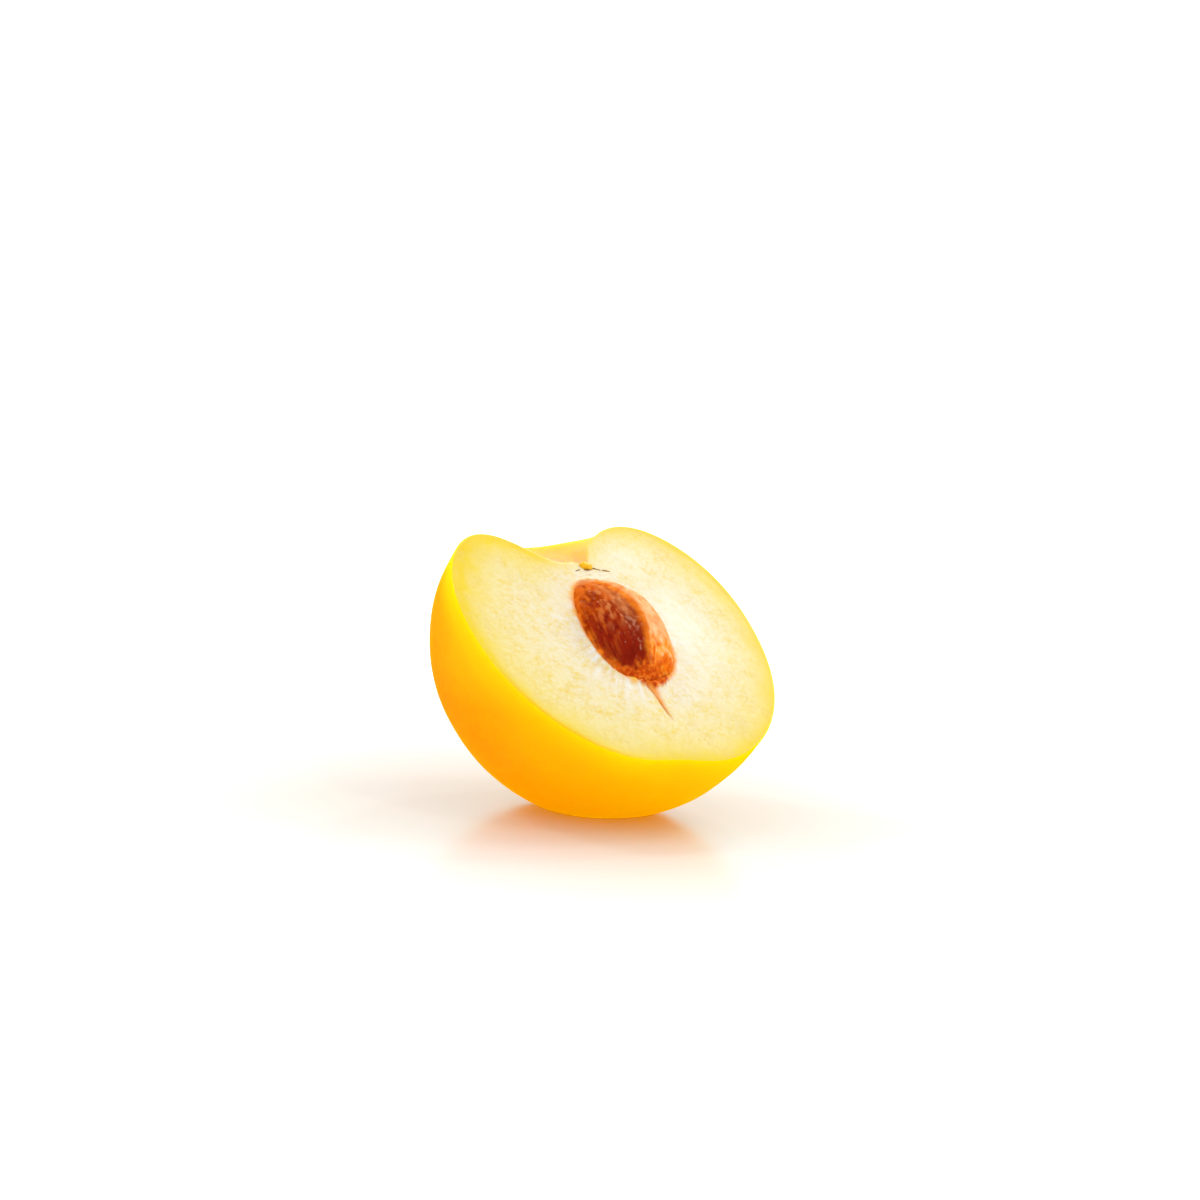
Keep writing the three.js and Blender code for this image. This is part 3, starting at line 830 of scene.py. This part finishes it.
def cut_flesh():
    """Ripe yellow plum flesh, just cut: wet, grainy and fibrous. Cream by the stone, yellow towards the
    skin, and a line of bright yellow where the knife met the skin. A painted sheen makes it paler right of
    the stone and at the upper right."""
    made, tree = material("wet_cut_plum_flesh")
    place = fruit_place(tree)
    from_rim, from_stone, fibre, pale, riper = (
        add(tree, "Attribute", attribute_name=name).outputs["Fac"]
        for name in ("from_rim", "from_stone", "fibre", "pale", "riper")
    )
    patches, clumps, grain, torn, web = (
        add(tree, "TexNoise", {"Vector": place, "Scale": 1 / size, "Detail": detail, "Roughness": rough,
                               "Distortion": bent}).outputs["Fac"]
        for size, detail, rough, bent in (
            (FLESH_RIPENING, 3, 0.55, 0), (FLESH_CLUMPS, 2, 0.5, 0), (FLESH_GRAIN, 5, 0.75, 0),
            (TORN_FIBRES, 3, 0.6, 0), (FLESH_VEINS, 3, 0.6, 0.8),
        )
    )

    # From yellow at the skin to cream inside. Patches away from the rim swing that to and fro, and riper
    # flesh stays yellow further in.
    shift = add(tree, "MapRange", {"Value": patches, "To Min": -PATCH_SWING, "To Max": PATCH_SWING}).outputs[0]
    off_rim = add(tree, "MapRange", {"Value": from_rim, "From Max": EVEN_RIM}).outputs[0]
    shift = add(tree, "Math", {0: shift, 1: off_rim}, operation="MULTIPLY").outputs[0]
    riper = add(tree, "MapRange", {"Value": riper, "To Max": -RIPER_SWING}).outputs[0]
    shift = add(tree, "Math", {0: shift, 1: riper}, operation="ADD").outputs[0]
    inward = add(tree, "Math", {0: from_rim, 1: shift}, operation="ADD").outputs[0]
    inward = add(tree, "MapRange", {"Value": inward, "From Max": CREAM_INSIDE}).outputs[0]
    base = add(tree, "ValToRGB", {"Fac": inward}, stops=[
        (0.0, "#D3B831"), (0.03, "#D2BB31"), (0.06, "#D2BD52"), (0.1, "#D2C067"), (0.17, "#D2C37D"),
        (0.3, "#D2C793"), (0.5, "#D2C9A1"), (0.75, "#D2CBAF"), (1.0, "#D2CCB4"),
    ]).outputs["Color"]
    by_stone = add(tree, "MapRange", {
        "Value": from_stone, "From Min": 1.0, "From Max": 8.0, "To Min": 0.75, "To Max": 0.0,
    }, interpolation_type="SMOOTHSTEP").outputs[0]
    # Cream by the stone, and paler again where the sheen is painted.
    base = painted(tree, base, (by_stone, 1, "#D3CEC3"), (pale, 1, "#D5D7C8"))

    # Fine cell clumps in soft yellower patches, with veins that wander between, fewer where the sheen is
    # painted.
    speck = add(tree, "MapRange", {
        "Value": grain, "From Min": 0.38, "From Max": 0.68, "To Max": 0.8,
    }).outputs[0]
    clump = add(tree, "MapRange", {
        "Value": clumps, "From Min": 0.4, "From Max": 0.7, "To Min": 0.55, "To Max": 1.5,
    }).outputs[0]
    quiet = add(tree, "MapRange", {"Value": pale, "To Min": 1.0, "To Max": 0.3}).outputs[0]
    web = add(tree, "Math", {0: web, 1: 0.5}, operation="SUBTRACT").outputs[0]
    web = add(tree, "Math", {0: web}, operation="ABSOLUTE").outputs[0]
    vein = add(tree, "MapRange", {"Value": web, "From Max": 0.07, "To Min": 0.2, "To Max": 0.0}).outputs[0]
    veined = add(tree, "MapRange", {"Value": patches, "From Min": 0.45, "From Max": 0.62}).outputs[0]
    for share in (clump, quiet):
        speck = add(tree, "Math", {0: speck, 1: share}, operation="MULTIPLY").outputs[0]
    for share in (veined, quiet):
        vein = add(tree, "Math", {0: vein, 1: share}, operation="MULTIPLY").outputs[0]
    base = painted(tree, base, (speck, 1, "#D1BA57"), (vein, 1, "#C3993B"))

    # White strands run out from the stone, with tan flesh between them.
    close = add(tree, "MapRange", {
        "Value": from_stone, "From Min": 0.5, "From Max": 6.5, "To Min": 1.0, "To Max": 0.0,
    }, interpolation_type="SMOOTHSTEP").outputs[0]
    for (low, high), most, over in (((0.56, 0.72), 0.95, "#D3D3D0"), ((0.44, 0.26), 0.4, "#CFAA78")):
        share = add(tree, "MapRange", {
            "Value": fibre, "From Min": low, "From Max": high, "To Max": most,
        }).outputs[0]
        share = add(tree, "Math", {0: share, 1: close}, operation="MULTIPLY").outputs[0]
        base = painted(tree, base, (share, 1, over))

    # The stone's red, the torn strands, the slit, the fibre and crumb at its head, and the skin's own edge.
    ragged = add(tree, "ValToRGB", {"Fac": torn}, stops=[
        (0.34, "#9A2800"), (0.5, "#C44E00"), (0.66, "#DE802C"),
    ]).outputs["Color"]
    base = painted(
        tree, base, ("stain", 1, "#DD882A"), ("torn", 0.8, "#E6D9CB"), ("slit_banks", 1, "#DA8420"),
        ("tissue", 1, ragged), ("crumb", 1, "#DCA640"), ("slit", 0.45, "#A04C08"),
        ("skin_edge", 0.9, "#D8A600"),
    )
    bump = add(tree, "Bump", {"Strength": 0.12, "Distance": BUMP_HEIGHT, "Height": grain})
    shader = add(tree, "BsdfPrincipled", {
        "Base Color": base, "Roughness": 0.38, "IOR": 1.4, "Specular IOR Level": 0.0,
        "Subsurface Weight": 0.15, "Subsurface Radius": (1.0, 0.9, 0.7), "Subsurface Scale": 0.0003,
        "Coat Weight": 0.02, "Coat Roughness": 0.2, "Coat IOR": GLOSS_IOR, "Normal": bump.outputs["Normal"],
    })
    add(tree, "OutputMaterial", {"Surface": shader.outputs[0]})
    return made


def wet_stone():
    """A plum stone fresh from the flesh: woody, ridged and wet. Dark red-brown on the left flank, with tan
    crests, pinkish flesh still on the right flank, and orange flesh on the keel and along the cut. Light and
    shade are partly painted on: the left flank darker and the right lighter, shade in the hollows and pits,
    and highlights on the crests, beads and bumps."""
    made, tree = material("wet_plum_stone")
    place = fruit_place(tree)
    along, height, pits = (
        add(tree, "Attribute", attribute_name=name).outputs["Fac"] for name in ("along", "height", "pits")
    )
    blotch, grain, torn = (
        add(tree, "TexNoise", {"Vector": place, "Scale": 1 / size, "Detail": detail, "Roughness": rough})
        .outputs["Fac"] for size, detail, rough in (
            (STONE_BLOTCHES, 4, 0.6), (STONE_GRAIN, 4, 0.65), (TORN_FIBRES, 3, 0.6),
        )
    )

    # The left flank is dark, partly its own red-brown and partly painted shade. It is darkest at its lower
    # end, with painted shade in its hollows, tan crests that are partly a painted highlight, and painted
    # glints on its pale beads.
    up = add(tree, "MapRange", {"Value": along, "From Min": -9.0, "From Max": 9.0}).outputs[0]
    wobble = add(tree, "MapRange", {"Value": blotch, "To Min": -0.5, "To Max": 0.5}).outputs[0]
    up = add(tree, "Math", {0: up, 1: wobble}, operation="ADD").outputs[0]
    dark = add(tree, "ValToRGB", {"Fac": up}, stops=[
        (0.0, "#741200"), (0.35, "#821A00"), (0.6, "#932A00"), (0.8, "#B44803"), (0.95, "#CC6014"),
    ]).outputs["Color"]
    dark = painted(
        tree, dark, ("hollows", 0.5, "#5C0300"), ("fibres", 0.45, "#CC6418"), ("tan", 0.65, "#D0844A"),
        ("beads", 0.26, "#D7A584"),
    )

    # The right flank is pink, partly flesh still on it and partly painted light. At its lower end it is
    # orange, with painted shade in its pits and a painted highlight on the bumps between them.
    pink = add(tree, "ValToRGB", {"Fac": blotch}, stops=[
        (0.3, "#D68348"), (0.5, "#DFA16A"), (0.7, "#E2B688"),
    ]).outputs["Color"]
    orange = add(tree, "ValToRGB", {"Fac": pits}, stops=[
        (0.1, "#CE5A0C"), (0.35, "#EC822A"), (0.6, "#ED9640"), (0.9, "#EEBE88"),
    ]).outputs["Color"]
    base = painted(tree, dark, ("right_flank", 1, painted(tree, pink, ("lower_end", 1, orange))))

    # Orange flesh clings to it, paler by the cut, and red fibre hangs on its lower tip.
    flesh = add(tree, "ValToRGB", {"Fac": blotch}, stops=[
        (0.3, "#B43400"), (0.45, "#D45C00"), (0.55, "#E07408"), (0.7, "#E29436"),
    ]).outputs["Color"]
    by_cut = add(tree, "MapRange", {
        "Value": height, "From Min": 0.05, "From Max": 0.6, "To Min": 0.6, "To Max": 0.0,
    }).outputs[0]
    flesh = painted(tree, flesh, (by_cut, 1, "#E08D34"))
    stem_end = add(tree, "MapRange", {
        "Value": along, "From Min": 8.3, "From Max": 10.3, "To Max": 0.3,
    }).outputs[0]
    fibrous = add(tree, "ValToRGB", {"Fac": torn}, stops=[
        (0.34, "#8A1E00"), (0.5, "#B84000"), (0.66, "#D66C1C"),
    ]).outputs["Color"]
    base = painted(
        tree, base, ("clinging_flesh", 1, flesh), ("keel", 0.3, "#DC8424"), (stem_end, 1, "#E4A874"),
        ("tissue", 0.9, fibrous),
    )
    bump = add(tree, "Bump", {"Strength": 0.4, "Distance": BUMP_HEIGHT, "Height": grain})
    shader = add(tree, "BsdfPrincipled", {
        "Base Color": base, "Roughness": 0.35, "IOR": 1.5, "Specular IOR Level": 0.0, "Coat Weight": 0.014,
        "Coat Roughness": 0.12, "Coat IOR": GLOSS_IOR, "Normal": bump.outputs["Normal"],
    })
    add(tree, "OutputMaterial", {"Surface": shader.outputs[0]})
    return made


def dried_gum():
    """A drop of plum gum, dried in the air: amber, clear and glossy."""
    made, tree = material("dried_plum_gum")
    shader = add(tree, "BsdfPrincipled", {
        "Base Color": "#DFAC1A", "Roughness": 0.25, "IOR": 1.5, "Specular IOR Level": 0.1,
        "Subsurface Weight": 0.4, "Subsurface Radius": (1.0, 0.5, 0.1), "Subsurface Scale": 0.001,
    })
    add(tree, "OutputMaterial", {"Surface": shader.outputs[0]})
    return made


def dried_fibre():
    """Fibre of the core, torn and dried dark brown: rough, with hardly any gloss."""
    made, tree = material("dried_plum_fibre")
    uneven = add(tree, "TexNoise", {"Vector": fruit_place(tree), "Scale": 1 / DRIED_FIBRES, "Detail": 3.0})
    base = add(tree, "ValToRGB", {"Fac": uneven.outputs["Fac"]}, stops=[
        (0.35, "#5E3C0C"), (0.6, "#A87222"),
    ]).outputs["Color"]
    shader = add(tree, "BsdfPrincipled", {"Base Color": base, "Roughness": 0.6, "Specular IOR Level": 0.1})
    add(tree, "OutputMaterial", {"Surface": shader.outputs[0]})
    return made


# ---------------------------------------------------------------------------- assembly

fruit, rim = make_fruit()
cut_face = colour_faces(fruit, (waxy_skin(), cut_flesh()))
relieve_cut(fruit, cut_face, rim)
relieve_skin(fruit, cut_face)

stone = make_stone()
stone.data.materials.append(wet_stone())

bead = make_bead()
bead.data.materials.append(dried_gum())

strands = make_strands(fruit, cut_face)
strands.data.materials.append(dried_fibre())

for piece in (fruit, stone, bead, strands):
    set_down(piece)
    piece.data.polygons.foreach_set("use_smooth", np.ones(len(piece.data.polygons), bool))
    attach(piece, "root")

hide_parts("plum_half")
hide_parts("stone")

# --------------------------------------------------------------------- table and light
# Metres from the origin, which is under the fruit.

TABLE_SIZE = 6
MIRROR_MOST, MIRROR_REACH, MIRROR_FADE = 0.82, 0.115, 2.0
# A painted shadow: the table is drawn grey near the fruit and fades to white between these distances
SHADE_FROM, SHADE_TO = 0.02, 0.12
STUDIO_LIGHT = 1.26

LAMP_AIM = Vector((0, 0, 0.02))
LAMPS = (  # name, place, the side of its square, watts, tint
    ("key", (0.5, 0.012, 0.45), 0.2, 0.85, "#FFFFFF"),
    ("top", (0.06, -0.26, 0.5), 0.02, 0.3, "#FFE6C4"),
    ("left", (-0.37, 0.06, 0.43), 0.02, 0.1, "#FFE6C4"),
    ("back", (-0.2, 0.4, 0.42), 0.06, 0.5, "#FFFFFF"),
    ("back_right", (0.4, 0.3, 0.4), 0.06, 0.5, "#FFFFFF"),
)


def white_table():
    """A sheet of white acrylic, polished: lit to white, and it mirrors the fruit close by. A painted shadow
    greys it near the fruit.
    """
    made, tree = material("polished_white_acrylic")
    place = add(tree, "TexCoord").outputs["Object"]
    away = add(tree, "VectorMath", {0: place}, operation="LENGTH").outputs["Value"]
    near = add(tree, "MapRange", {
        "Value": away, "From Max": MIRROR_REACH, "To Min": MIRROR_MOST, "To Max": 0.0,
    }).outputs[0]
    mirror = add(tree, "Math", {0: near, 1: MIRROR_FADE}, operation="POWER").outputs[0]
    # 0 in the painted shadow near the fruit, 1 out of it
    lit = add(tree, "MapRange", {"Value": away, "From Min": SHADE_FROM, "From Max": SHADE_TO}).outputs[0]
    body = add(tree, "BsdfDiffuse", {"Color": painted(tree, "#D2D0CB", (lit, 1, "#F2F2F2"))})
    gloss = add(tree, "BsdfAnisotropic", {"Color": "#E8E8DE", "Roughness": 0.2})
    both = add(tree, "MixShader", {0: mirror, 1: body.outputs[0], 2: gloss.outputs[0]})
    add(tree, "OutputMaterial", {"Surface": both.outputs[0]})
    return made


def make_table():
    bpy.ops.object.select_all(action="DESELECT")
    bpy.ops.mesh.primitive_plane_add(size=TABLE_SIZE)
    table = bpy.context.object
    table.name = "table"
    table.data.materials.append(white_table())


def make_studio():
    world = bpy.data.worlds.new("white_studio")
    world.use_nodes = True
    tree = world.node_tree
    tree.nodes.clear()
    room = add(tree, "Background", {"Color": "#FFFFFF", "Strength": STUDIO_LIGHT})
    add(tree, "OutputWorld", {"Surface": room.outputs[0]})
    bpy.context.scene.world = world
    bpy.context.scene.view_settings.view_transform = "Standard"
    for name, place, side, watts, tint in LAMPS:
        data = bpy.data.lights.new(name, "AREA")
        data.shape, data.size = "SQUARE", side
        data.energy, data.color = watts, colour(tint)[:3]
        lamp = bpy.data.objects.new(name, data)
        bpy.context.scene.collection.objects.link(lamp)
        lamp.location = place
        lamp.rotation_euler = (LAMP_AIM - Vector(place)).to_track_quat("-Z", "Y").to_euler()


make_table()
make_studio()
